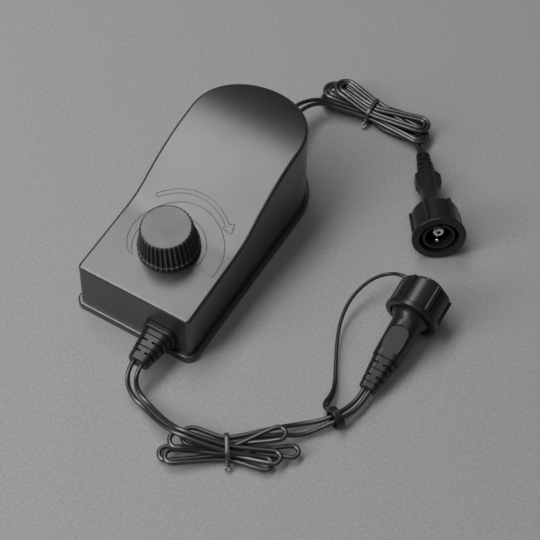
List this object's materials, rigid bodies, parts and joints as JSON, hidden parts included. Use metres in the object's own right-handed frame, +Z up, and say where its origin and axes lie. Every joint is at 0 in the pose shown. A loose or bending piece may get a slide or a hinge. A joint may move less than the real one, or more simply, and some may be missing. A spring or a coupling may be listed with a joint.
{
  "type": "light dimmer",
  "caption": "In-line low-voltage light dimmer: ribbed knob on a sloped housing, twin-wire cords tied in hanks, plug with coupling ring, socket with tethered screw cap.",
  "frame": {"origin": "bottom centre of the housing", "axes": "+Z up, the knob end towards -Y, the rounded end towards +Y"},
  "size_m": [0.1543, 0.2405, 0.0499],
  "materials": {
    "shell_plastic": "satin moulded",
    "base_plastic": "satin moulded",
    "knob_plastic": "satin moulded",
    "soft_black": "soft overmould",
    "wire_jacket": "glossy extruded jacket",
    "tie_plastic": "coated",
    "connector_plastic": "satin moulded",
    "contact_metal": "nickel plated",
    "steel": "zinc plated",
    "board": "solder mask",
    "chip_plastic": "moulded",
    "sink_metal": "extruded",
    "can_metal": "sleeved",
    "ferrite": "sintered",
    "terminal_plastic": "moulded"
  },
  "bodies": {
    "housing": {"base_plate": "base_plastic", "base_screws": "steel", "board_screws": "steel", "cap_tether": "soft_black", "choke": "ferrite", "circuit_board": "board", "control_chip": "chip_plastic", "electrolytic_capacitor": "can_metal", "heat_sink": "sink_metal", "input_hank_a": "wire_jacket", "input_hank_b": "wire_jacket", "input_inner_leads": "wire_jacket", "input_lead_a": "wire_jacket", "input_lead_b": "wire_jacket", "input_strain_relief": "soft_black", "input_tail_a": "wire_jacket", "input_tail_b": "wire_jacket", "input_tie": "tie_plastic", "output_hank_a": "wire_jacket", "output_hank_b": "wire_jacket", "output_inner_leads": "wire_jacket", "output_lead_a": "wire_jacket", "output_lead_b": "wire_jacket", "output_strain_relief": "soft_black", "output_tail_a": "wire_jacket", "output_tail_b": "wire_jacket", "output_tie": "tie_plastic", "plug_body": "soft_black", "plug_insulator": "connector_plastic", "plug_pin_contact": "contact_metal", "plug_seal": "soft_black", "plug_shroud": "connector_plastic", "plug_sleeve_contact": "contact_metal", "pot_body": "steel", "pot_nut": "steel", "pot_washer": "steel", "power_transistor": "chip_plastic", "resistor_row": "chip_plastic", "socket_body": "soft_black", "socket_contact": "contact_metal", "socket_insulator": "connector_plastic", "terminal_blocks": "terminal_plastic", "tether_loop": "soft_black", "upper_shell": "shell_plastic"},
    "knob": {"knob": "knob_plastic", "pot_shaft": "steel"},
    "coupling": {"coupling_ring": "connector_plastic"},
    "cap_ring": {"cap_swivel_ring": "soft_black"},
    "cap": {"screw_cap": "connector_plastic", "cap_gasket": "soft_black"}
  },
  "joints": [
    {"name": "knob_turn", "type": "hinge", "parent": "housing", "child": "knob", "pos_m": [0, -0.0335, 0.0319], "axis": [0, -0.0958, 0.9954], "range_deg": [-150, 150]},
    {"name": "coupling_turn", "type": "hinge", "parent": "housing", "child": "coupling", "pos_m": [0.0667, 0.1, 0.00505], "axis": [0.5402, -0.8291, 0.1444], "continuous": true},
    {"name": "cap_travel", "type": "slide", "parent": "housing", "child": "cap_ring", "axis": [0.0177, 0.9828, 0.184], "range_m": [0, 0.0061], "deforming": ["cap_tether"]},
    {"name": "cap_turn", "type": "hinge", "parent": "cap_ring", "child": "cap", "pos_m": [0.1078, -0.0383, 0.0056], "axis": [0.0177, 0.9828, 0.184], "range_deg": [0, 720]}
  ],
  "couplings": [
    {"joint": "cap_travel", "follows": "cap_turn", "m_per_rad": 0.00047746}
  ]
}
